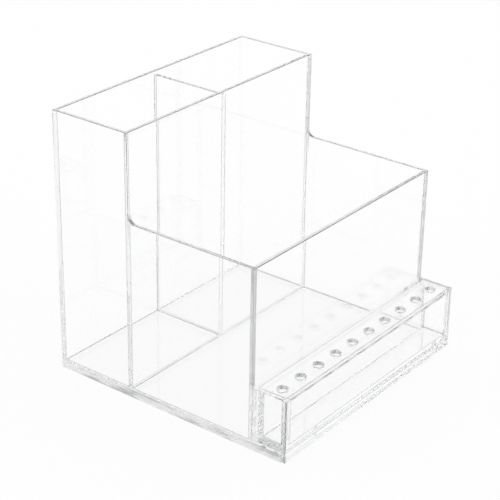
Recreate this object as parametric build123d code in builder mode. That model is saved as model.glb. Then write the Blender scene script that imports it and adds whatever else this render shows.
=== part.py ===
"""Clear acrylic brush holder: a two-height caddy with a pull-out brush drawer in front.

The caddy is cemented from flat sheet. A thick base carries two stepped side panels, a
back, a middle and a low front panel, and a short divider that halves the tall rear part.
In front of it stands a low bay with a thick floor, two ends and a back, open at its front
and top. The drawer fills the bay: its floor, two ends and back run inside, a plate with a
row of round holes for brush handles closes its top, and its wide front covers the bay's
floor and ends. It slides forward between the ends.

Units are millimetres. The origin is the bottom centre of the whole footprint, +X points
right, +Y to the back and +Z up, so the drawer faces -Y.
"""

import os

from build123d import *

# ---- overall sizes ----------------------------------------------------------------------
outer_width = 200.0  # left face to right face
caddy_depth = 168.0  # front face of the low part to the back face
rear_depth = 65.0  # tall part, front face of the middle panel to the back face
rear_height = 193.0  # rim of the tall part above the table
front_height = 130.5  # rim of the low part above the table
bay_height = 46.4  # rim of the drawer bay above the table
bay_depth = 27.0  # how far the bay stands out in front of the low part

# ---- sheet ------------------------------------------------------------------------------
sheet = 3.0  # every wall
base_sheet = 6.0  # base and bay floor
drawer_floor_sheet = 5.0
step_radius = 5.0  # inner corner of the step in the side panels
rim_polish = 0.5  # rounding of the rims left by flame polishing

# ---- divider ----------------------------------------------------------------------------
divider_drop = 2.5  # top of the divider below the tall rim

# ---- drawer and its brush holes ---------------------------------------------------------
drawer_side_gap = 0.5  # each side, between the drawer's box and the bay end
drawer_back_gap = 0.5  # between the drawer's box and the bay back
front_ground_gap = 0.5  # table to the lower edge of the drawer front
front_corner_radius = 2.0  # upright outer corners of the drawer front
hole_count = 10
hole_diameter = 7.6
hole_edge_break = 0.2  # chamfer on both rims of each hole
hole_row_margin = 8.5  # end of the hole plate to the centre of the first hole
hole_row_setback = 11.8  # outer face of the drawer front to the hole centres

# ---- derived places ---------------------------------------------------------------------
overall_depth = caddy_depth + bay_depth
left_x = -outer_width / 2
right_x = outer_width / 2
front_y = -overall_depth / 2  # outer face of the drawer front
bay_front_y = front_y + sheet  # the drawer front closes against this plane
back_y = overall_depth / 2
caddy_front_y = front_y + bay_depth
bay_back_y = caddy_front_y - sheet  # front face of the bay's back
middle_y = back_y - rear_depth  # front face of the middle panel
inner_width = outer_width - 2 * sheet

drawer_width = inner_width - 2 * drawer_side_gap  # of the box behind the front
drawer_back_y = bay_back_y - drawer_back_gap
drawer_floor_top = base_sheet + drawer_floor_sheet
plate_bottom = bay_height - sheet
hole_pitch = (drawer_width - 2 * hole_row_margin) / (hole_count - 1)

os.makedirs("parts", exist_ok=True)


def write(part: Part, name: str) -> None:
    """Label one finished piece and write it as its own STEP file."""
    part.label = name
    export_step(part, f"parts/{name}.step")


def stretch(low: float, high: float) -> tuple[float, float]:
    """Give the length and the centre between two places on one axis."""
    return high - low, (low + high) / 2


# ---- base of the caddy ------------------------------------------------------------------
base_length, base_centre = stretch(bay_back_y, back_y)
with BuildPart() as base_plate:
    with BuildSketch(Plane.XY):
        with Locations((0, base_centre)):
            Rectangle(outer_width, base_length)
    extrude(amount=base_sheet)
write(base_plate.part, "base_plate")

# ---- stepped side panels ----------------------------------------------------------------
for name, outer_x in (("left_side_panel", left_x), ("right_side_panel", right_x - sheet)):
    with BuildPart() as side_panel:
        with BuildSketch(Plane.YZ.offset(outer_x)) as outline:
            with BuildLine():
                Polyline(
                    (caddy_front_y, base_sheet),
                    (back_y, base_sheet),
                    (back_y, rear_height),
                    (middle_y, rear_height),
                    (middle_y, front_height),
                    (caddy_front_y, front_height),
                    close=True,
                )
            make_face()
            step_corner = outline.vertices().sort_by_distance((middle_y, front_height))[0]
            fillet(step_corner, step_radius)
        extrude(amount=sheet)
        broad_faces = side_panel.faces().filter_by(Axis.X).sort_by(SortBy.AREA)[-2:]
        rims = broad_faces.edges().group_by(Axis.Z)[1:]
        fillet([edge for level in rims for edge in level], rim_polish)
    write(side_panel.part, name)

# ---- panels that run from side to side --------------------------------------------------
# name, back face, rim height
cross_panels = (
    ("back_panel", back_y, rear_height),
    ("middle_panel", middle_y + sheet, rear_height),
    ("front_panel", caddy_front_y + sheet, front_height),
)
for name, panel_back_y, rim_height in cross_panels:
    panel_height, panel_centre = stretch(base_sheet, rim_height)
    with BuildPart() as cross_panel:
        with BuildSketch(Plane.XZ.offset(-panel_back_y)):
            with Locations((0, panel_centre)):
                Rectangle(inner_width, panel_height)
        extrude(amount=sheet)
        fillet(cross_panel.edges().filter_by(Axis.X).group_by(Axis.Z)[-1], rim_polish)
    write(cross_panel.part, name)

# ---- divider of the tall part -----------------------------------------------------------
divider_length, divider_centre = stretch(middle_y + sheet, back_y - sheet)
divider_height = rear_height - divider_drop - base_sheet
with BuildPart() as rear_divider:
    with BuildSketch(Plane.XY.offset(base_sheet)):
        with Locations((0, divider_centre)):
            Rectangle(sheet, divider_length)
    extrude(amount=divider_height)
    fillet(rear_divider.edges().filter_by(Axis.Y).group_by(Axis.Z)[-1], rim_polish)
write(rear_divider.part, "rear_divider")

# ---- drawer bay -------------------------------------------------------------------------
bay_length, bay_centre = stretch(bay_front_y, bay_back_y)
with BuildPart() as bay_floor:
    with BuildSketch(Plane.XY):
        with Locations((0, bay_centre)):
            Rectangle(outer_width, bay_length)
    extrude(amount=base_sheet)
write(bay_floor.part, "bay_floor")

with BuildPart() as bay_back:
    with BuildSketch(Plane.XY.offset(base_sheet)):
        with Locations((0, bay_back_y + sheet / 2)):
            Rectangle(outer_width, sheet)
    extrude(amount=bay_height - base_sheet)
    fillet(bay_back.edges().filter_by(Axis.X).group_by(Axis.Z)[-1], rim_polish)
write(bay_back.part, "bay_back")

for name, end_x in (("bay_left_end", left_x), ("bay_right_end", right_x - sheet)):
    with BuildPart() as bay_end:
        with BuildSketch(Plane.XY.offset(base_sheet)):
            with Locations((end_x + sheet / 2, bay_centre)):
                Rectangle(sheet, bay_length)
        extrude(amount=bay_height - base_sheet)
        fillet(bay_end.edges().filter_by(Axis.Y).group_by(Axis.Z)[-1], rim_polish)
    write(bay_end.part, name)

# ---- drawer -----------------------------------------------------------------------------
box_length, box_centre = stretch(bay_front_y, drawer_back_y)
with BuildPart() as drawer_floor:
    with BuildSketch(Plane.XY.offset(base_sheet)):
        with Locations((0, box_centre)):
            Rectangle(drawer_width, box_length)
    extrude(amount=drawer_floor_sheet)
write(drawer_floor.part, "drawer_floor")

with BuildPart() as drawer_front:
    with BuildSketch(Plane.XY.offset(front_ground_gap)) as front_outline:
        with Locations((0, front_y + sheet / 2)):
            Rectangle(outer_width, sheet)
        fillet(front_outline.vertices().group_by(Axis.Y)[0], front_corner_radius)
    extrude(amount=bay_height - front_ground_gap)
    fillet(drawer_front.faces().sort_by(Axis.Z)[-1].edges(), rim_polish)
write(drawer_front.part, "drawer_front")

with BuildPart() as drawer_back:
    with BuildSketch(Plane.XY.offset(drawer_floor_top)):
        with Locations((0, drawer_back_y - sheet / 2)):
            Rectangle(drawer_width, sheet)
    extrude(amount=plate_bottom - drawer_floor_top)
write(drawer_back.part, "drawer_back")

end_length, end_centre = stretch(bay_front_y, drawer_back_y - sheet)
end_offset = (drawer_width - sheet) / 2
for name, end_x in (("drawer_left_end", -end_offset), ("drawer_right_end", end_offset)):
    with BuildPart() as drawer_end:
        with BuildSketch(Plane.XY.offset(drawer_floor_top)):
            with Locations((end_x, end_centre)):
                Rectangle(sheet, end_length)
        extrude(amount=plate_bottom - drawer_floor_top)
    write(drawer_end.part, name)

# ---- plate with the brush holes ---------------------------------------------------------
with BuildPart() as hole_plate:
    with BuildSketch(Plane.XY.offset(plate_bottom)):
        with Locations((0, box_centre)):
            Rectangle(drawer_width, box_length)
    extrude(amount=sheet)
    with Locations((0, front_y + hole_row_setback, bay_height)):
        with GridLocations(hole_pitch, 0, hole_count, 1):
            Hole(radius=hole_diameter / 2, depth=sheet)
    chamfer(hole_plate.edges().filter_by(GeomType.CIRCLE), hole_edge_break)
write(hole_plate.part, "hole_plate")
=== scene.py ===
"""Looks of the clear brush holder: cemented acrylic sheets, their polished rims and cut edges.

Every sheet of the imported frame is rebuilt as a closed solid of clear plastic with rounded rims.
Where two sheets are cemented, the faces between them are fully see-through, so light crosses the
joint as it does in solvent-welded acrylic. Thin beads of cement lie in the inner corners.
All lengths are in metres, in the frame's own axes.
"""

import logging
import math
from dataclasses import dataclass, field, replace
from enum import Enum
from typing import Iterable, Sequence, Union

import bpy
import numpy as np
from mathutils import Matrix, Vector

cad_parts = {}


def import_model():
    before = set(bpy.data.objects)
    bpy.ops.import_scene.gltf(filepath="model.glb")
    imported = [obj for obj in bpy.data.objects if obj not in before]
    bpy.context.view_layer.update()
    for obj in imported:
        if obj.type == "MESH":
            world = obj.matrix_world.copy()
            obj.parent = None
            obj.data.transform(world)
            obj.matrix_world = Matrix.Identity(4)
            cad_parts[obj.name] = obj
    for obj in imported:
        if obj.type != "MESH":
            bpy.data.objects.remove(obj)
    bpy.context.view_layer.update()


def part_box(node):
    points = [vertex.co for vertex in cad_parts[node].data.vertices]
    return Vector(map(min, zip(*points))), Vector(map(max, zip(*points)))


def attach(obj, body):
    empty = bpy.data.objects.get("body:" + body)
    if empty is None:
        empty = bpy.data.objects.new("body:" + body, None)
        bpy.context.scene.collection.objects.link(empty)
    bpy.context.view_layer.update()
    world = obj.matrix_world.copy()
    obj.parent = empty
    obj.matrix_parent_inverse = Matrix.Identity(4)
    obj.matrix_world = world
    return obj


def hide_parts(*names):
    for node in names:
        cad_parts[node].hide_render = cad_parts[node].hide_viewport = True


log = logging.getLogger("brush_holder")

MM = 0.001
JOINT = 0.01 * MM  # how far a butt end is drawn back from what it is cemented to
PROBE = 0.03 * MM  # how far from a face or an edge its neighbours are looked for
WELD = 0.001 * MM  # points that round to the same multiple of this are one
HAIR = 1e-7  # a length under this is none
DIGITS = 7  # decimals of a metre that count in the place of a plane
FACING = 0.9  # a face lies across an axis if its direction has more than this along it
GRAZING = 0.1  # a face runs along an axis if its direction has less than this along it
SHARES = np.linspace(0.02, 0.98, 9)  # where along a side its neighbours are looked for

Triple = tuple[float, float, float]
Piece = bpy.types.Object


# ---- shader graph ----


class Mark(Enum):
    """Numbers from 0 to 1 that each face of a sheet carries for its finish."""

    CEMENTED = "cemented"
    CUT = "cut"


Value = Union["Wire", float]


class Wire:
    """One output socket of a shader graph. Arithmetic on it adds Math nodes."""

    def __init__(self, graph: "Graph", socket: bpy.types.NodeSocket) -> None:
        """Keep the graph and the socket."""
        self.graph = graph
        self.socket = socket

    def _math(self, operation: str, *values: Value) -> "Wire":
        """Add one Math node that takes the values in order."""
        return self.graph.node("ShaderNodeMath", {"operation": operation}, dict(enumerate(values)))

    def __add__(self, other: Value) -> "Wire":
        """Return self + other."""
        return self._math("ADD", self, other)

    def __radd__(self, other: Value) -> "Wire":
        """Return other + self."""
        return self._math("ADD", other, self)

    def __sub__(self, other: Value) -> "Wire":
        """Return self - other."""
        return self._math("SUBTRACT", self, other)

    def __rsub__(self, other: Value) -> "Wire":
        """Return other - self."""
        return self._math("SUBTRACT", other, self)

    def __mul__(self, other: Value) -> "Wire":
        """Return self * other."""
        return self._math("MULTIPLY", self, other)

    def __rmul__(self, other: Value) -> "Wire":
        """Return other * self."""
        return self._math("MULTIPLY", other, self)

    def at_least(self, other: Value) -> "Wire":
        """Return the larger of self and other."""
        return self._math("MAXIMUM", self, other)

    def ramp(self, low: float, high: float) -> "Wire":
        """Rise smoothly from 0, where self is low, to 1, where self is high."""
        inputs = {"Value": self, "From Min": low, "From Max": high}
        return self.graph.node("ShaderNodeMapRange", {"interpolation_type": "SMOOTHSTEP"}, inputs)


class Graph:
    """The node tree of one material or world."""

    def __init__(self, tree: bpy.types.NodeTree) -> None:
        """Take the tree over and empty it."""
        self.tree = tree
        tree.nodes.clear()

    def node(
        self,
        kind: str,
        settings: dict[str, object] | None = None,
        inputs: dict[str | int, object] | None = None,
        output: str | int = 0,
    ) -> Wire:
        """Add one node.

        Args:
            kind: The node's type.
            settings: Its properties.
            inputs: Its sockets by name or number, each a wire or a plain value.
            output: The socket to return.

        Returns:
            The chosen output.
        """
        made = self.tree.nodes.new(kind)
        for name, value in (settings or {}).items():
            setattr(made, name, value)
        for key, value in (inputs or {}).items():
            if isinstance(value, Wire):
                self.tree.links.new(value.socket, made.inputs[key])
            else:
                made.inputs[key].default_value = value
        return Wire(self, made.outputs[output] if len(made.outputs) else None)

    def blend(self, factor: Value, low: Triple, high: Triple) -> Wire:
        """Mix two colours, with the factor as the share of high."""
        inputs = {0: factor, 6: (*low, 1), 7: (*high, 1)}  # 6 and 7 take colours
        return self.node("ShaderNodeMix", {"data_type": "RGBA"}, inputs, 2)

    def either(self, factor: Value, low: Wire, high: Wire) -> Wire:
        """Mix two shaders, with the factor as the share of high."""
        return self.node("ShaderNodeMixShader", inputs={0: factor, 1: low, 2: high})

    def mark(self, mark: Mark) -> Wire:
        """Read a number that the mesh's faces carry."""
        return self.node("ShaderNodeAttribute", {"attribute_name": mark.value}, output="Fac")

    def along(self, path: str) -> Wire:
        """Tell whether a ray is of one kind, by the name of Light Path's output."""
        return self.node("ShaderNodeLightPath", output=path)


# ---- finishes ----


@dataclass(frozen=True)
class Pattern:
    """A noise pattern: the number of its features in a metre, its detail and its directions."""

    scale: float
    detail: float
    stretch: Triple = (1.0, 1.0, 1.0)

    def draw(self, graph: Graph, centre: Triple) -> Wire:
        """Add the pattern to a graph.

        Args:
            graph: The material's graph.
            centre: The point of the object that the pattern spreads from.

        Returns:
            Its strength, which lies around 0.5.
        """
        here = graph.node("ShaderNodeTexCoord", output="Object")
        offset = [-c * s for c, s in zip(centre, self.stretch)]
        placing = {"Vector": here, "Location": offset, "Scale": self.stretch}
        where = graph.node("ShaderNodeMapping", inputs=placing)
        inputs = {"Vector": where, "Scale": self.scale, "Detail": self.detail}
        return graph.node("ShaderNodeTexNoise", inputs=inputs)


@dataclass(frozen=True)
class ClearSheet:
    """Polished clear acrylic: faint cloud and ripple, and a few hairline marks left by wiping.

    A cemented face, which lies inside a joint, lets light cross it as if it weren't there.
    """

    name: str
    centre: Triple
    tint: Triple = (1.0, 1.0, 1.0)
    haze: Triple = (0.997, 0.998, 0.9985)
    ior: float = 1.49
    depth_colour: Triple = (0.35, 0.39, 0.41)
    depth_density: float = 0.5
    cloud: Pattern = Pattern(40.0, 1.0)
    cloud_span: tuple[float, float] = (0.35, 0.75)
    ripple: float = 0.012 * MM
    wiping: Pattern = Pattern(260.0, 0.0, (1.0, 5.0, 0.4))
    wiping_span: tuple[float, float] = (0.72, 0.80)
    wiped_blur: float = 0.05

    def material(self) -> bpy.types.Material:
        """Build the material.

        Returns:
            A see-through plastic that grows darker with depth.
        """
        made = bpy.data.materials.new(self.name)
        made.use_nodes = True
        graph = Graph(made.node_tree)
        open_joint = graph.node("ShaderNodeBsdfTransparent", inputs={"Color": (1, 1, 1, 1)})
        surface = graph.either(graph.mark(Mark.CEMENTED), self.skin(graph), open_joint)
        depth = graph.node(
            "ShaderNodeVolumeAbsorption",
            inputs={"Color": (*self.depth_colour, 1), "Density": self.depth_density},
        )
        graph.node("ShaderNodeOutputMaterial", inputs={"Surface": surface, "Volume": depth})
        return made

    def skin(self, graph: Graph) -> Wire:
        """Make the open faces.

        Args:
            graph: The material's graph.

        Returns:
            The shader.
        """
        cloud = self.cloud.draw(graph, self.centre)
        wiping = self.wiping.draw(graph, self.centre)
        colour = graph.blend(cloud.ramp(*self.cloud_span), self.tint, self.haze)
        roughness = wiping.ramp(*self.wiping_span) * self.wiped_blur
        relief = graph.node("ShaderNodeBump", inputs={"Distance": self.ripple, "Height": cloud})
        return self.see_through(graph, colour, roughness, relief)

    def see_through(self, graph: Graph, colour: Wire, roughness: Value, relief: Wire) -> Wire:
        """Make a see-through surface.

        Args:
            graph: The material's graph.
            colour: The colour of light that passes.
            roughness: How much the surface blurs.
            relief: The surface's direction.

        Returns:
            The shader.
        """
        return graph.node(
            "ShaderNodeBsdfPrincipled",
            inputs={
                "Base Color": colour,
                "Roughness": roughness,
                "IOR": self.ior,
                "Transmission Weight": 1.0,
                "Normal": relief,
            },
        )


@dataclass(frozen=True)
class CutSheet(ClearSheet):
    """Clear acrylic whose edges are cut: partly frosted, in uneven patches with fine streaks."""

    light: Triple = (0.86, 0.865, 0.87)
    dark: Triple = (0.70, 0.71, 0.715)
    mottle: Pattern = Pattern(90.0, 2.0, (1.0, 1.0, 3.0))
    mottle_share: float = 0.65
    streaks: Pattern = Pattern(220.0, 1.0, (0.12, 0.12, 4.0))
    streak_height: float = 0.01 * MM
    patch_span: tuple[float, float] = (0.40, 0.60)
    blur: float = 0.05
    least_blur: float = 0.4
    frost: float = 0.50
    glow_through: float = 0.35

    def skin(self, graph: Graph) -> Wire:
        """Make the open faces, polished or cut.

        Args:
            graph: The material's graph.

        Returns:
            The shader.
        """
        mottle = self.mottle.draw(graph, self.centre)
        streaks = self.streaks.draw(graph, self.centre)
        uneven = mottle * self.mottle_share + streaks * (1.0 - self.mottle_share)
        patch = uneven.ramp(*self.patch_span)
        colour = graph.blend(patch, self.dark, self.light)
        roughness = self.blur * (self.least_blur + patch * (1.0 - self.least_blur))
        standing = {"Distance": self.streak_height, "Height": streaks}
        relief = graph.node("ShaderNodeBump", inputs=standing)
        rough = self.see_through(graph, colour, roughness, relief)
        dark, light = (self.matt(graph, shade, relief) for shade in (self.dark, self.light))
        edge = graph.either(self.frost, rough, graph.either(patch, dark, light))
        return graph.either(graph.mark(Mark.CUT), super().skin(graph), edge)

    def matt(self, graph: Graph, shade: Triple, relief: Wire) -> Wire:
        """Make a frosted surface of one shade, which lets part of the light through.

        Args:
            graph: The material's graph.
            shade: Its colour.
            relief: The surface's direction.

        Returns:
            The shader.
        """
        inputs = {"Color": (*shade, 1), "Normal": relief}
        back = graph.node("ShaderNodeBsdfDiffuse", inputs=inputs)
        through = graph.node("ShaderNodeBsdfTranslucent", inputs=inputs)
        return graph.either(self.glow_through, back, through)


WALL_FINISH = CutSheet("clear_wall", (0, 0, 0.09))
BASE_FINISH = CutSheet(
    "clear_base",
    (0, 0, 0.003),
    light=(1.0, 1.0, 1.0),
    dark=(0.62, 0.63, 0.635),
    mottle=Pattern(40.0, 2.0, (1.0, 1.0, 3.0)),
    patch_span=(0.38, 0.54),
    streak_height=0.02 * MM,
    frost=0.85,
    glow_through=0.12,
)
DRAWER_FINISH = CutSheet(
    "clear_drawer", (0, -0.086, 0.023), light=(0.97, 0.975, 0.98), dark=(0.84, 0.85, 0.855)
)


@dataclass(frozen=True)
class PaleFloor:
    """Matt white table top, shown near white and still taking the object's shadow."""

    name: str = "pale_floor"
    colour: Triple = (0.93, 0.93, 0.93)
    lighter: Triple = (0.9393, 0.9393, 0.9393)
    grain: Pattern = Pattern(35.0, 3.0)
    roughness: float = 0.85
    glow: float = 0.93

    def material(self) -> bpy.types.Material:
        """Build the material.

        Returns:
            A matt white that shows itself brighter than it lights the object.
        """
        made = bpy.data.materials.new(self.name)
        made.use_nodes = True
        graph = Graph(made.node_tree)
        grain = self.grain.draw(graph, (0, 0, 0))
        matt = graph.node(
            "ShaderNodeBsdfPrincipled",
            inputs={
                "Base Color": graph.blend(grain, self.colour, self.lighter),
                "Roughness": self.roughness,
                "Specular IOR Level": 0.0,
            },
        )
        white = graph.node("ShaderNodeEmission", inputs={"Color": (1, 1, 1, 1), "Strength": 1.0})
        seen = graph.along("Is Camera Ray").at_least(graph.along("Is Glossy Ray"))
        seen = seen.at_least(graph.along("Is Transmission Ray"))
        shown = graph.either(seen * self.glow, matt, white)
        graph.node("ShaderNodeOutputMaterial", inputs={"Surface": shown})
        return made


# ---- solids of sheet ----


@dataclass
class Shell:
    """Points, faces of four corners and triangles of one closed solid."""

    points: np.ndarray
    quads: np.ndarray
    triangles: np.ndarray = field(default_factory=lambda: np.zeros((0, 3), int))

    def welded(self) -> "Shell":
        """Join points that lie in one place and drop the faces that this leaves without area.

        Returns:
            The joined shell. A face of four corners that loses one becomes a triangle.
        """
        steps = np.round(self.points / WELD).astype(np.int64)
        back = np.unique(steps, axis=0, return_inverse=True)[1].reshape(-1)
        points = np.zeros((back.max() + 1, 3))
        points[back] = self.points
        quads, triangles = back[self.quads], back[self.triangles]
        fresh = quads != np.roll(quads, -1, axis=1)
        left = fresh.sum(axis=1)
        folded = quads[left == 3][fresh[left == 3]].reshape(-1, 3)
        whole = (triangles != np.roll(triangles, -1, axis=1)).all(axis=1)
        return Shell(points, quads[left == 4], np.concatenate([folded, triangles[whole]]))

    @classmethod
    def joined(cls, shells: Sequence["Shell"]) -> "Shell":
        """Put several shells, which stay apart, into one."""
        start = np.cumsum([0] + [len(s.points) for s in shells[:-1]])
        return cls(
            np.concatenate([s.points for s in shells]),
            np.concatenate([s.quads + n for s, n in zip(shells, start)]),
            np.concatenate([s.triangles + n for s, n in zip(shells, start)]),
        )


@dataclass(frozen=True)
class Block:
    """A box with sides along the axes."""

    low: Triple
    high: Triple

    @classmethod
    def of_node(cls, node: str) -> "Block":
        """Read a CAD node's box."""
        low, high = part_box(node)
        return cls(tuple(low), tuple(high))

    def moved_side(self, axis: int, upper: bool, distance: float) -> "Block":
        """Move one side.

        Args:
            axis: 0, 1 or 2 for x, y or z.
            upper: True for the side at the high end.
            distance: How far along the axis.

        Returns:
            The changed block.
        """
        low, high = list(self.low), list(self.high)
        (high if upper else low)[axis] += distance
        return Block(tuple(low), tuple(high))

    def touches(self, low: np.ndarray, high: np.ndarray) -> bool:
        """Tell whether it meets the box from low to high, or comes within the probe of it."""
        starts = np.all(np.array(self.low) <= high + PROBE)
        return bool(starts and np.all(np.array(self.high) >= low - PROBE))


@dataclass(frozen=True)
class CutPlane:
    """A plane across an axis on which a sheet's faces above some height are cut edges."""

    axis: int
    place: float
    amount: float = 1.0
    above: float = 0.0

    def holds(self, centres: np.ndarray, normals: np.ndarray) -> np.ndarray:
        """Tell which faces lie on the plane, from their middles and their directions."""
        near = np.abs(centres[:, self.axis] - self.place) < PROBE
        return near & (np.abs(normals[:, self.axis]) > FACING) & (centres[:, 2] > self.above)


def inside(points: np.ndarray, blocks: Sequence[Block]) -> np.ndarray:
    """Tell which points lie in any of the blocks.

    Args:
        points: An array whose last axis is x, y, z.
        blocks: The boxes.

    Returns:
        An array of truth values with the other axes of points.
    """
    if not blocks:
        return np.zeros(points.shape[:-1], bool)
    low = np.array([b.low for b in blocks])
    high = np.array([b.high for b in blocks])
    here = points[..., None, :]
    return ((here > low) & (here < high)).all(axis=-1).any(axis=-1)


def lattice(axes: Sequence[np.ndarray]) -> np.ndarray:
    """Give the points of a grid, as an array of x, y, z steps and coordinates."""
    return np.stack(np.meshgrid(*axes, indexing="ij"), axis=-1)


def drawn_back(own: Sequence[Block], solids: Sequence[Block]) -> list[Block]:
    """Draw the butt ends of a sheet back from what they are cemented to.

    A side is a butt end if a grid of points just outside it lies in other solids everywhere. The
    hair's breadth left there keeps the two faces of a joint in order for light that crosses it.

    Args:
        own: The blocks of the sheet.
        solids: All blocks of the body, the sheet's own among them.

    Returns:
        The sheet's blocks, a little shorter at their butt ends.
    """
    others = [b for b in solids if b not in own]
    made = []
    for block in own:
        low, high = np.array(block.low), np.array(block.high)
        grid = lattice([SHARES] * 3) * (high - low) + low
        changed = block
        for axis in range(3):
            for upper, edge, sign in ((False, low, 1), (True, high, -1)):
                side = grid.copy()
                side[..., axis] = edge[axis] - sign * PROBE
                if inside(side, others).all():
                    changed = changed.moved_side(axis, upper, sign * JOINT)
        made.append(changed)
    return made


def block_shell(own: Sequence[Block], others: Sequence[Block]) -> Shell:
    """Cut a solid made of blocks along the edges of its neighbours and give its skin.

    The space is divided by every plane on which a block begins or ends. A cell is solid where one
    of the solid's own blocks covers its middle. A face is made wherever a solid cell meets an
    empty one.

    Args:
        own: The blocks that make up the solid.
        others: The blocks whose edges the faces are cut along.

    Returns:
        The skin, made of rectangles that point outwards.
    """
    low = np.min([b.low for b in own], axis=0)
    high = np.max([b.high for b in own], axis=0)
    near = [b for b in others if b.touches(low, high)]
    bounds = np.array([(b.low, b.high) for b in [*own, *near]])
    cuts = []
    for axis in range(3):
        values = np.unique(np.round(bounds[:, :, axis].ravel(), DIGITS))
        cuts.append(values[(values >= low[axis] - HAIR) & (values <= high[axis] + HAIR)])
    solid = inside(lattice([(c[:-1] + c[1:]) / 2 for c in cuts]), own)
    grid = lattice(cuts)
    shape = grid.shape[:3]
    faces = []
    for axis in range(3):
        padded = np.pad(solid, [(1, 1) if a == axis else (0, 0) for a in range(3)])
        step = np.diff(padded.astype(int), axis=axis)
        second, third = (axis + 1) % 3, (axis + 2) % 3
        along, across = np.eye(3, dtype=int)[second], np.eye(3, dtype=int)[third]
        for sign in (1, -1):
            corner = np.argwhere(step == sign)
            ring = [corner, corner + across, corner + along + across, corner + along]
            if sign < 0:
                ring.reverse()
            faces.append(np.stack([np.ravel_multi_index(c.T, shape) for c in ring], axis=1))
    return Shell(grid.reshape(-1, 3), np.concatenate(faces))


# ---- pieces ----


class Body(Enum):
    """The bodies of the frame."""

    CADDY = "caddy"
    DRAWER = "drawer"


class Slot(Enum):
    """The record's material slots."""

    WALL = "clear_wall_sheet"
    BASE = "clear_base_sheet"
    DRAWER = "clear_drawer_sheet"


@dataclass(frozen=True)
class Stock:
    """What the pieces of one kind of sheet share: body, slot, finish, neighbours and rims."""

    body: Body
    slot: Slot
    finish: bpy.types.Material
    solids: list[Block]
    rim: float = 0.57 * MM


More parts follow.
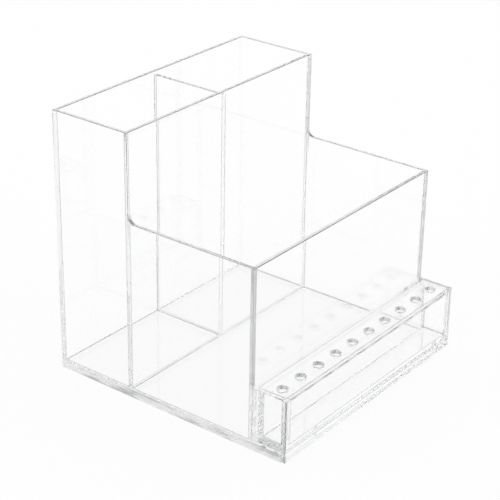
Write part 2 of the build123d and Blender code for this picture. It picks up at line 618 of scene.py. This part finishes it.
@dataclass(kw_only=True)
class Clear:
    """What all clear pieces do: turn a shell into a marked mesh with rounded rims."""

    stock: Stock
    corner: float = 2.0 * MM
    steps: int = 5
    joint_haze: float = 0.6

    def piece(
        self,
        name: str,
        shell: Shell,
        own: Sequence[Block],
        cut_planes: Iterable[CutPlane] = (),
        round_edges: Iterable[tuple[float, float]] = (),
        node: str | None = None,
    ) -> Piece:
        """Turn a shell into a piece of the model.

        Args:
            name: The piece's name.
            shell: Its skin.
            own: The blocks that it covers, which aren't neighbours.
            cut_planes: Planes whose faces are cut edges.
            round_edges: The x and y of upright edges that are rounded like corners.
            node: The CAD node that it stands for.

        Returns:
            The finished object.
        """
        shell = shell.welded()
        mesh = bpy.data.meshes.new(name)
        faces = [*shell.quads.tolist(), *shell.triangles.tolist()]
        mesh.from_pydata(shell.points, [], faces)
        mesh.validate()
        mesh.materials.append(self.stock.finish)
        self._mark_faces(mesh, own, cut_planes)
        self._weigh_edges(mesh, round_edges)
        made = bpy.data.objects.new(name, mesh)
        bpy.context.scene.collection.objects.link(made)
        bevel = made.modifiers.new("polish", "BEVEL")
        bevel.width = self.corner
        bevel.offset_type = "OFFSET"
        bevel.limit_method = "WEIGHT"
        bevel.segments = self.steps
        bevel.use_clamp_overlap = False
        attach(made, self.stock.body.value)
        if node:
            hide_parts(node)
        return made

    def step_arc(self) -> Triple | None:
        """Give the y, z and radius of a rounded step, if the piece has one."""
        return None

    def own_cut(self, centres: np.ndarray, normals: np.ndarray) -> np.ndarray:
        """Say how far the piece's own shape makes each face a cut edge: here not at all."""
        return np.zeros(len(centres))

    def _mark_faces(
        self, mesh: bpy.types.Mesh, own: Sequence[Block], cut_planes: Iterable[CutPlane]
    ) -> None:
        """Write how far each face is cemented and how far it is a cut edge.

        A cut edge inside a joint leaves the cement hazy.

        Args:
            mesh: The piece's mesh.
            own: The piece's own blocks.
            cut_planes: Planes whose faces are cut edges.
        """
        centres, normals = np.zeros((2, len(mesh.polygons) * 3))
        mesh.polygons.foreach_get("center", centres)
        mesh.polygons.foreach_get("normal", normals)
        centres, normals = centres.reshape(-1, 3), normals.reshape(-1, 3)
        others = [b for b in self.stock.solids if b not in own]
        cemented = inside(centres + normals * PROBE, others)
        cut = self.own_cut(centres, normals)
        for plane in cut_planes:
            cut = np.maximum(cut, plane.amount * plane.holds(centres, normals))
        fused = np.where(cemented, 1.0 - self.joint_haze * cut, 0.0)
        for mark, values in ((Mark.CEMENTED, fused), (Mark.CUT, cut)):
            layer = mesh.attributes.new(mark.value, "FLOAT", "FACE")
            layer.data.foreach_set("value", values.astype(np.float32))

    def _weigh_edges(
        self, mesh: bpy.types.Mesh, round_edges: Iterable[tuple[float, float]]
    ) -> None:
        """Say how much each edge is rounded.

        An edge along an axis is an outer rim where just one of the four spaces around it is solid.
        Flush joints have two and inner corners three, and these stay as they are.

        Args:
            mesh: The piece's mesh.
            round_edges: Upright edges rounded like corners.
        """
        pairs = np.zeros(len(mesh.edges) * 2, np.int32)
        mesh.edges.foreach_get("vertices", pairs)
        places = np.zeros(len(mesh.vertices) * 3)
        mesh.vertices.foreach_get("co", places)
        ends = places.reshape(-1, 3)[pairs.reshape(-1, 2)]
        middle = ends.mean(axis=1)
        run = np.abs(ends[:, 1] - ends[:, 0])
        rounded = self.stock.rim / self.corner
        weight = np.zeros(len(middle), np.float32)
        for axis in range(3):
            straight = (np.delete(run, axis, axis=1) < HAIR).all(axis=1) & (run[:, axis] > HAIR)
            side, rise = np.delete(np.eye(3), axis, axis=0) * PROBE
            around = [middle + a * side + b * rise for a in (-1, 1) for b in (-1, 1)]
            filled = inside(np.stack(around, axis=1), self.stock.solids).sum(axis=1)
            weight[straight & (filled == 1)] = rounded
        for x, y in round_edges:
            away = np.hypot(middle[:, 0] - x, middle[:, 1] - y)
            weight[(run[:, 2] > HAIR) & (away < PROBE) & (weight > 0)] = 1.0
        if self.step_arc():
            y, z, radius = self.step_arc()
            away = np.abs(np.hypot(ends[:, :, 1] - y, ends[:, :, 2] - z) - radius).max(axis=1)
            bent = (run[:, 0] < HAIR) & (run[:, 1] > HAIR) & (run[:, 2] > HAIR)
            weight[bent & (away < PROBE)] = rounded
        layer = mesh.attributes.new("bevel_weight_edge", "FLOAT", "EDGE")
        layer.data.foreach_set("value", weight)


@dataclass(kw_only=True)
class SidePanels(Clear):
    """The two stepped side panels, each with a rounded inner corner at its step."""

    nodes: tuple[str, str] = ("left_side_panel", "right_side_panel")
    step_radius: float = 5.0 * MM
    arc_parts: int = 12
    rim_cut: float = 0.55
    left_front_cut: float = 0.7

    @staticmethod
    def blocks(node: str) -> list[Block]:
        """Measure one side panel.

        Args:
            node: The CAD node's name.

        Returns:
            Its low and its tall part.
        """
        nodes = (node, "front_panel", "middle_panel")
        whole, front, middle = (Block.of_node(name) for name in nodes)
        low_part = Block(whole.low, (whole.high[0], whole.high[1], front.high[2]))
        tall_part = Block((whole.low[0], middle.low[1], whole.low[2]), whole.high)
        return [low_part, tall_part]

    def step_arc(self) -> Triple:
        """Find the rounded step.

        Returns:
            The y and z of its centre, and its radius.
        """
        y = Block.of_node("middle_panel").low[1]
        z = Block.of_node("front_panel").high[2]
        return y - self.step_radius, z + self.step_radius, self.step_radius

    def own_cut(self, centres: np.ndarray, normals: np.ndarray) -> np.ndarray:
        """Make the rounded step a cut edge.

        Args:
            centres: The middles of the faces.
            normals: Their directions.

        Returns:
            One number for each face, 1 on the step and 0 elsewhere.
        """
        y, z, radius = self.step_arc()
        away = np.abs(np.hypot(centres[:, 1] - y, centres[:, 2] - z) - radius)
        return np.where((away < PROBE) & (np.abs(normals[:, 0]) < GRAZING), 1.0, 0.0)

    def build(self) -> list[Piece]:
        """Build both panels.

        Returns:
            The finished objects.
        """
        made = []
        for node in self.nodes:
            nominal = self.blocks(node)
            low_part, tall_part = drawn_back(nominal, self.stock.solids)
            on_right = low_part.low[0] > 0
            planes = [
                CutPlane(2, low_part.high[2], self.rim_cut),
                CutPlane(2, tall_part.high[2], self.rim_cut),
                CutPlane(1, low_part.low[1], 1.0 if on_right else self.left_front_cut),
            ]
            if on_right:
                planes.append(CutPlane(1, tall_part.low[1]))
            shell = self._stepped_shell(low_part, tall_part)
            made.append(self.piece(f"{node}_sheet", shell, nominal, planes, node=node))
        return made

    def _stepped_shell(self, low_part: Block, tall_part: Block) -> Shell:
        """Join the two parts and fill the step's inner corner up to a quarter circle.

        The circle's points are its centre plus the radius times the cosine and sine of an angle
        that runs from -90 to 0 degrees. A strip of rectangles joins them across the sheet, and a
        fan of triangles from the corner closes each broad face.

        Args:
            low_part: The part in front of the step.
            tall_part: The part behind it.

        Returns:
            The panel's skin.
        """
        y, z, radius = tall_part.low[1], low_part.high[2], self.step_radius
        x_low, x_high = low_part.low[0], low_part.high[0]
        square = Block((x_low, y - radius, z), (x_high, y, z + radius))
        cut = block_shell([low_part, tall_part, square], self.stock.solids)
        middle = cut.points[cut.quads].mean(axis=1)
        in_square = (middle[:, 1] > y - radius - PROBE) & (middle[:, 1] < y)
        in_square &= (middle[:, 2] > z) & (middle[:, 2] < z + radius + PROBE)
        angle = np.linspace(-np.pi / 2, 0, self.arc_parts + 1)
        across = y - radius + radius * np.cos(angle)
        up = z + radius + radius * np.sin(angle)
        rim = [np.column_stack([np.full(len(angle), x), across, up]) for x in (x_low, x_high)]
        corners = np.array([(x_low, y, z), (x_high, y, z)])
        start = len(cut.points)
        left = start + np.arange(self.arc_parts)
        right = left + self.arc_parts + 1
        strip = np.stack([left, right, right + 1, left + 1], axis=1)
        corner = np.full(self.arc_parts, start + 2 * len(angle))
        left_cap = np.stack([corner, left, left + 1], axis=1)
        right_cap = np.stack([corner + 1, right + 1, right], axis=1)
        points = np.concatenate([cut.points, *rim, corners])
        quads = np.concatenate([cut.quads[~in_square], strip])
        return Shell(points, quads, np.concatenate([left_cap, right_cap]))


@dataclass(kw_only=True)
class FlatSheets(Clear):
    """Sheets that are plain rectangles, such as panels, floors and ends."""

    boxes: dict[str, Block]
    cut: dict[str, list[CutPlane]] = field(default_factory=dict)
    round_edges: dict[str, list[tuple[float, float]]] = field(default_factory=dict)

    def build(self) -> list[Piece]:
        """Build every sheet of the group.

        Returns:
            The finished objects.
        """
        made = []
        for node, block in self.boxes.items():
            others = [b for b in self.stock.solids if b != block]
            shell = block_shell(drawn_back([block], self.stock.solids), others)
            cut, edges = self.cut.get(node, ()), self.round_edges.get(node, ())
            made.append(self.piece(f"{node}_sheet", shell, [block], cut, edges, node))
        return made


@dataclass(kw_only=True)
class BrushPlate(Clear):
    """The drawer's top plate with its row of round holes."""

    node: str = "hole_plate"
    count: int = 10
    margin: float = 8.5 * MM
    setback: float = 8.8 * MM
    radius: float = 3.8 * MM
    lip: float = 0.2 * MM
    lip_parts: int = 4
    side_parts: int = 12
    wall: float = 3.0 * MM
    drilled: float = 0.8

    def hole_centres(self) -> tuple[np.ndarray, float]:
        """Give the x of every hole and their shared y."""
        (x0, y0, _), (x1, _, _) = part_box(self.node)
        return np.linspace(x0 + self.margin, x1 - self.margin, self.count), y0 + self.setback

    def own_cut(self, centres: np.ndarray, normals: np.ndarray) -> np.ndarray:
        """Make the drilled walls of the holes cut edges.

        Args:
            centres: The middles of the faces.
            normals: Their directions.

        Returns:
            One number for each face, 0 outside the holes.
        """
        hole_x, hole_y = self.hole_centres()
        away = np.hypot(centres[:, :1] - hole_x, centres[:, 1:2] - hole_y).min(axis=1)
        drilled = (away < self.radius + PROBE) & (np.abs(normals[:, 2]) < GRAZING)
        return np.where(drilled, self.drilled, 0.0)

    def build(self) -> Piece:
        """Build the plate: rings of points for every hole, joined by faces, and the outer sides.

        Returns:
            The finished object.
        """
        block = Block.of_node(self.node)
        back = drawn_back([block], self.stock.solids)[0]
        (x0, y0, _), (x1, y1, _) = back.low, back.high
        points = self._rings(back)
        ring_count, holes, around = points.shape[:3]
        index = np.arange(points[..., 0].size).reshape(ring_count, holes, around)
        after = np.roll(index, -1, axis=2)
        inwards = np.stack([index[:-1], after[:-1], after[1:], index[1:]], axis=-1)
        sides = np.stack([index[0], index[-1], after[-1], after[0]], axis=-1)
        middle = points.reshape(-1, 3)[sides].mean(axis=2)[..., :2]
        edge = (np.abs(middle - (x0, y0)) < PROBE) | (np.abs(middle - (x1, y1)) < PROBE)
        faces = np.concatenate([inwards.reshape(-1, 4), sides[edge.any(axis=-1)]])
        shell = Shell(points.reshape(-1, 3), faces)
        return self.piece(f"{self.node}_sheet", shell, [block], [CutPlane(1, y0)], node=self.node)

    def _rings(self, plate: Block) -> np.ndarray:
        """Lay rings of points through every hole.

        Each hole has its own rectangle of the plate. Points go round the rectangle's edge in equal
        parts of each side, and the hole's rim has a point in the same direction as each of these.
        The rings run from the top's outer edge over the lip, whose section is a quarter circle,
        down the wall of the hole and out again below. A second rectangle, inset by the wall's
        thickness, keeps a row of faces for the joint with the walls under the plate.

        Args:
            plate: The room that the plate takes up.

        Returns:
            An array of ring, hole, point and x, y, z.
        """
        (x0, y0, z0), (x1, y1, z1) = plate.low, plate.high
        centre_x, centre_y = self.hole_centres()
        split = (centre_x[1:] + centre_x[:-1]) / 2
        left = np.concatenate([[x0], split])
        right = np.concatenate([split, [x1]])
        outer = self._rectangles(left, right, y0, y1)
        inset_left = np.where(left == x0, left + self.wall, left)
        inset_right = np.where(right == x1, right - self.wall, right)
        inner = self._rectangles(inset_left, inset_right, y0, y1 - self.wall)
        centre = np.stack([centre_x, np.full(self.count, centre_y)], axis=1)[:, None, :]
        away = inner - centre
        direction = away / np.linalg.norm(away, axis=2, keepdims=True)
        turn = np.linspace(0, np.pi / 2, self.lip_parts + 1)
        lip_out = self.radius + self.lip * (1 - np.sin(turn))
        lip_down = self.lip * (1 - np.cos(turn))
        over = [(centre + direction * r, z1 - d) for r, d in zip(lip_out, lip_down)]
        under = [(centre + direction * r, z0 + d) for r, d in zip(lip_out, lip_down)]
        rings = [(outer, z1), (inner, z1), *over, *reversed(under), (inner, z0), (outer, z0)]
        flat = np.stack([ring for ring, _ in rings])
        height = np.array([z for _, z in rings])[:, None, None, None]
        return np.concatenate([flat, np.broadcast_to(height, flat.shape[:3] + (1,))], axis=3)

    def _rectangles(
        self, left: np.ndarray, right: np.ndarray, front: float, back: float
    ) -> np.ndarray:
        """Walk round rectangles in equal parts of each side, anticlockwise seen from above.

        Args:
            left: Each rectangle's lowest x.
            right: Each rectangle's highest x.
            front: Their lowest y.
            back: Their highest y.

        Returns:
            An array of rectangle, point and x, y.
        """
        share = np.arange(self.side_parts) / self.side_parts
        ones, zeros = np.ones(self.side_parts), np.zeros(self.side_parts)
        across = np.concatenate([share, ones, 1 - share, zeros])
        deep = np.concatenate([zeros, share, ones, 1 - share])
        x = left[:, None] + (right - left)[:, None] * across
        y = front + (back - front) * np.broadcast_to(deep, x.shape)
        return np.stack([x, y], axis=2)


# A bead's axis, the square bar that holds it, and the signs that point out of its corner along
# the two axes after its own.
BeadRun = tuple[int, Block, tuple[int, int]]


@dataclass(frozen=True)
class Pocket:
    """The empty space between four walls and above a floor.

    Its tops are those of the upright beads from the front left corner anticlockwise. A corner
    whose top is 0 has no bead.
    """

    name: str
    space: Block
    tops: tuple[float, ...]

    @classmethod
    def between(
        cls, name: str, walls: Sequence[Block], floor: Block, drop: float = 0.6 * MM
    ) -> "Pocket":
        """Find the space between walls.

        Args:
            name: The pocket's name.
            walls: The front, right, back and left wall.
            floor: The floor.
            drop: How far an upright bead ends below the lower of its two walls.

        Returns:
            The pocket.
        """
        front, right, back, left = walls
        low = (left.high[0], front.high[1], floor.high[2])
        high = (right.low[0], back.low[1], max(wall.high[2] for wall in walls))
        corners = ((front, left), (front, right), (back, right), (back, left))
        tops = tuple(min(a.high[2], b.high[2]) - drop for a, b in corners)
        return cls(name, Block(low, high), tops)

    def runs(self, size: float) -> list[BeadRun]:
        """Lay out the beads, the upright ones first and then those along the floor.

        Args:
            size: The side of a bead's square.

        Returns:
            The beads.
        """
        (x0, y0, z0), (x1, y1, _) = self.space.low, self.space.high
        at_x = {1: (x0, x0 + size), -1: (x1 - size, x1)}
        at_y = {1: (y0, y0 + size), -1: (y1 - size, y1)}
        beads: list[BeadRun] = []
        for (sx, sy), top in zip(((1, 1), (-1, 1), (-1, -1), (1, -1)), self.tops):
            if top > z0:
                (xa, xb), (ya, yb) = at_x[sx], at_y[sy]
                beads.append((2, Block((xa, ya, z0), (xb, yb, top)), (sx, sy)))
        for sy, (ya, yb) in at_y.items():
            beads.append((0, Block((x0 + size, ya, z0), (x1 - size, yb, z0 + size)), (sy, 1)))
        for sx, (xa, xb) in at_x.items():
            beads.append((1, Block((xa, y0 + size, z0), (xb, y1 - size, z0 + size)), (1, sx)))
        return beads


@dataclass(kw_only=True)
class CementBeads(Clear):
    """Concave beads of solvent cement in the inner corners of one pocket."""

    pocket: Pocket
    size: float
    parts: int = 4
    bubbles: float = 0.35

    def own_cut(self, centres: np.ndarray, normals: np.ndarray) -> np.ndarray:
        """Make the beads a little cloudy everywhere, as if they were partly cut."""
        return np.full(len(centres), self.bubbles)

    def build(self) -> Piece:
        """Build the pocket's beads as one object.

        Returns:
            The finished object.
        """
        runs = self.pocket.runs(self.size)
        solids = self.stock.solids
        shells = [self._bead(axis, drawn_back([b], solids)[0], signs) for axis, b, signs in runs]
        own = [block for _, block, _ in runs]
        return self.piece(f"cement_{self.pocket.name}", Shell.joined(shells), own)

    def _bead(self, axis: int, block: Block, signs: tuple[int, int]) -> Shell:
        """Build one bead.

        Across its run, a bead is a square corner with a quarter circle cut out of it: the circle's
        centre is the square's open corner and its radius is the square's side.

        Args:
            axis: The axis along which it runs.
            block: The square bar that holds it.
            signs: The directions out of the corner along the two axes after that.

        Returns:
            Its shell, with faces that point outwards.
        """
        second, third = (axis + 1) % 3, (axis + 2) % 3
        low, high = np.array(block.low), np.array(block.high)
        size = high[second] - low[second]
        corner = [low[a] if s > 0 else high[a] for a, s in zip((second, third), signs)]
        angle = np.linspace(np.pi, 1.5 * np.pi, self.parts + 1)
        u = np.append(corner[0] + signs[0] * size * (1 + np.cos(angle)), corner[0])
        v = np.append(corner[1] + signs[1] * size * (1 + np.sin(angle)), corner[1])
        count = len(u)
        points = np.zeros((2, count, 3))
        points[:, :, second], points[:, :, third] = u, v
        points[0, :, axis], points[1, :, axis] = low[axis], high[axis]
        first = np.arange(count)
        following = np.roll(first, -1)
        wall = np.stack([first, following, following + count, first + count], axis=1)
        hub = np.full(self.parts, count - 1)
        fan = np.arange(self.parts)
        near = np.stack([hub, fan + 1, fan], axis=1)
        far = np.stack([hub + count, fan + count, fan + 1 + count], axis=1)
        if signs[0] * signs[1] < 0:
            wall, near, far = wall[:, ::-1], near[:, ::-1], far[:, ::-1]
        return Shell(points.reshape(-1, 3), wall, np.concatenate([near, far]))


# ---- the model ----


@dataclass
class Caddy:
    """The cemented caddy: base, bay, panels, divider and the beads in their corners."""

    thick: tuple[str, ...] = ("base_plate", "bay_floor")
    panels: tuple[str, ...] = ("back_panel", "middle_panel", "front_panel", "rear_divider")
    bay: tuple[str, ...] = ("bay_back", "bay_left_end", "bay_right_end")
    behind_drawer: tuple[str, ...] = ("bay_floor", "bay_left_end", "bay_right_end")
    running: float = 0.1 * MM
    bead: float = 0.6 * MM
    thick_rim: float = 0.15 * MM
    bay_rim: float = 0.2 * MM
    rim_cut: float = 0.55
    # The right ends are frosted less than the left ones. This is painted light: the lower frost
    # stands in for light coming through them from behind, and the frost that is left is the real
    # cut edge.
    right_edge_cut: float = 0.2

    boxes: dict[str, Block] = field(init=False)
    left: list[Block] = field(init=False)
    right: list[Block] = field(init=False)

    def __post_init__(self) -> None:
        """Measure the flat sheets, and the low and the tall part of each side panel."""
        names = (*self.thick, *self.panels, *self.bay)
        self.boxes = {name: Block.of_node(name) for name in names}
        for name in self.behind_drawer:
            self.boxes[name] = self.boxes[name].moved_side(1, False, self.running)
        self.left, self.right = (SidePanels.blocks(name) for name in SidePanels.nodes)

    def build(self) -> list[Piece]:
        """Build every piece of the caddy.

        Returns:
            The pieces.
        """
        pockets = self._pockets()
        beads = [block for pocket in pockets for _, block, _ in pocket.runs(self.bead)]
        solids = [*self.boxes.values(), *self.left, *self.right, *beads]
        walls = Stock(Body.CADDY, Slot.WALL, WALL_FINISH.material(), solids)
        thick = Stock(Body.CADDY, Slot.BASE, BASE_FINISH.material(), solids, self.thick_rim)
        cut = self._cut_edges()
        made = SidePanels(stock=walls, rim_cut=self.rim_cut).build()
        for names, stock in (
            (self.thick, thick),
            (self.panels, walls),
            (self.bay, replace(walls, rim=self.bay_rim)),
        ):
            sheets = {name: self.boxes[name] for name in names}
            made += FlatSheets(stock=stock, boxes=sheets, cut=cut).build()
        for pocket in pockets:
            made.append(CementBeads(stock=walls, pocket=pocket, size=self.bead).build())
        return made

    def _pockets(self) -> list[Pocket]:
        """Find the three pockets. The far corner of the rear right one has no bead.

        Returns:
            The rear left, rear right and front pocket.
        """
        back, middle, front, divider = (self.boxes[name] for name in self.panels)
        floor = self.boxes["base_plate"]
        rear_left = Pocket.between("rear_left", (middle, divider, back, self.left[1]), floor)
        rear_right = Pocket.between("rear_right", (middle, self.right[1], back, divider), floor)
        tops = rear_right.tops
        return [
            rear_left,
            replace(rear_right, tops=(*tops[:2], 0.0, tops[3])),
            Pocket.between("front", (front, self.right[0], middle, self.left[0]), floor),
        ]

    def _cut_edges(self) -> dict[str, list[CutPlane]]:
        """Say which edges of the flat sheets are cut.

        Returns:
            The cut planes of each sheet that has any.
        """
        boxes, base = self.boxes, self.boxes["base_plate"]
        left_joint, right_joint = self.left[0].high[0], self.right[0].low[0]
        bay_top, step = boxes["bay_back"].high[2], boxes["front_panel"].high[2]
        # The left ends are fully cut. The right ends are cut less, as painted light for their glow
        # from behind.
        ends = [CutPlane(0, base.low[0]), CutPlane(0, base.high[0], self.right_edge_cut)]
        cut = {name: [CutPlane(2, boxes[name].high[2], self.rim_cut)] for name in self.panels}
        cut |= {name: ends for name in self.thick}
        cut["front_panel"] += [CutPlane(0, x, above=bay_top) for x in (left_joint, right_joint)]
        cut["middle_panel"].append(CutPlane(0, right_joint, above=step))
        cut["bay_right_end"] = [CutPlane(2, bay_top)]
        return cut


@dataclass
class Drawer:
    """The drawer: front, floor, ends, back, the plate with holes and the beads inside."""

    front: str = "drawer_front"
    inner: tuple[str, ...] = ("drawer_floor", "drawer_left_end", "drawer_right_end", "drawer_back")
    running: float = 0.1 * MM
    bead: float = 0.8 * MM
    rim: float = 0.2 * MM
    left_edge_cut: float = 0.35

    def build(self) -> list[Piece]:
        """Build every piece of the drawer.

        Returns:
            The pieces.
        """
        boxes = {name: Block.of_node(name) for name in (self.front, *self.inner)}
        boxes["drawer_floor"] = boxes["drawer_floor"].moved_side(2, False, self.running)
        plate = Block.of_node("hole_plate")
        front, floor, left, right, back = boxes.values()
        pocket = Pocket.between("drawer", (front, right, back, left), floor)
        pocket = replace(pocket, tops=(plate.low[2],) * 4)
        beads = [block for _, block, _ in pocket.runs(self.bead)]
        solids = [*boxes.values(), plate, *beads]
        stock = Stock(Body.DRAWER, Slot.DRAWER, DRAWER_FINISH.material(), solids, self.rim)
        x_low, x_high, y = front.low[0], front.high[0], front.low[1]
        made = FlatSheets(
            stock=stock,
            boxes=boxes,
            cut={self.front: [CutPlane(0, x_low, self.left_edge_cut), CutPlane(0, x_high)]},
            round_edges={self.front: [(x_low, y), (x_high, y)]},
        ).build()
        made.append(BrushPlate(stock=stock).build())
        made.append(CementBeads(stock=stock, pocket=pocket, size=self.bead).build())
        return made


# ---- studio ----


@dataclass(frozen=True)
class Studio:
    """White table and surround with a darker ceiling, and the camera. Angles are in radians."""

    camera_place: Triple = (-0.780701, -0.586793, 0.562819)
    yaw: float = 0.918664
    pitch: float = 0.456070
    roll: float = 0.017632
    lens: float = 113.100
    sensor: float = 36.0
    nearest: float = 0.05
    ceiling: float = 0.12
    ceiling_from: float = math.radians(36.0)
    ceiling_to: float = math.radians(50.0)
    table_radius: float = 6.0
    table_points: int = 96
    table_drop: float = 0.3 * MM
    bounces: int = 96

    def build(self) -> None:
        """Set up the floor, the world, the camera and the view."""
        self._floor()
        self._world()
        self._camera()
        scene = bpy.context.scene
        scene.view_settings.view_transform = "Standard"
        scene.cycles.max_bounces = self.bounces
        scene.cycles.transmission_bounces = self.bounces
        scene.cycles.glossy_bounces = self.bounces
        scene.cycles.transparent_max_bounces = self.bounces
        scene.cycles.denoising_input_passes = "RGB"

    def _floor(self) -> None:
        """Lay a wide disc just under the object: points on a circle, joined by one face."""
        count = self.table_points
        turn = np.linspace(0, 2 * np.pi, count + 1)[:-1]
        rim = np.stack([np.cos(turn), np.sin(turn), np.zeros(count)], axis=1) * self.table_radius
        rim[:, 2] = -self.table_drop
        mesh = bpy.data.meshes.new("table")
        mesh.from_pydata(rim, [], [list(range(count))])
        mesh.materials.append(PaleFloor().material())
        table = bpy.data.objects.new("table", mesh)
        bpy.context.scene.collection.objects.link(table)

    def _world(self) -> None:
        """Light the scene from a white surround, whose ceiling is darker to glass and mirrors."""
        world = bpy.data.worlds.new("studio")
        bpy.context.scene.world = world
        world.use_nodes = True
        graph = Graph(world.node_tree)
        direction = graph.node("ShaderNodeTexCoord", output="Generated")
        up = graph.node("ShaderNodeSeparateXYZ", inputs={0: direction}, output="Z")
        high = up.ramp(math.sin(self.ceiling_from), math.sin(self.ceiling_to))
        matt = graph.along("Is Diffuse Ray")
        level = 1.0 - high * (1.0 - matt) * (1.0 - self.ceiling)
        colour = graph.node("ShaderNodeCombineColor", inputs={0: level, 1: level, 2: level})
        light = graph.node("ShaderNodeBackground", inputs={"Color": colour, "Strength": 1.0})
        graph.node("ShaderNodeOutputWorld", inputs={"Surface": light})

    def _camera(self) -> None:
        """Stand the camera where the photograph was taken from.

        The view direction follows from yaw and pitch, and roll turns the picture around it.
        """
        flat = math.cos(self.pitch)
        forward = Vector(
            (flat * math.sin(self.yaw), flat * math.cos(self.yaw), -math.sin(self.pitch))
        )
        level = Vector((math.cos(self.yaw), -math.sin(self.yaw), 0))
        above = level.cross(forward)
        right = math.cos(self.roll) * level + math.sin(self.roll) * above
        up = math.cos(self.roll) * above - math.sin(self.roll) * level
        data = bpy.data.cameras.new("camera")
        data.sensor_width = self.sensor
        data.lens = self.lens
        data.clip_start = self.nearest
        camera = bpy.data.objects.new("camera", data)
        place = Matrix((right, up, -forward)).transposed().to_4x4()
        place.translation = Vector(self.camera_place)
        camera.matrix_world = place
        bpy.context.scene.collection.objects.link(camera)
        bpy.context.scene.camera = camera


def main() -> None:
    """Load the frame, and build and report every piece."""
    logging.basicConfig(level=logging.INFO, format="%(name)s: %(message)s")
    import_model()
    for assembly in (Caddy(), Drawer()):
        for piece in assembly.build():
            log.info("%s: %d faces", piece.name, len(piece.data.polygons))
    Studio().build()


if __name__ == "__main__":
    main()
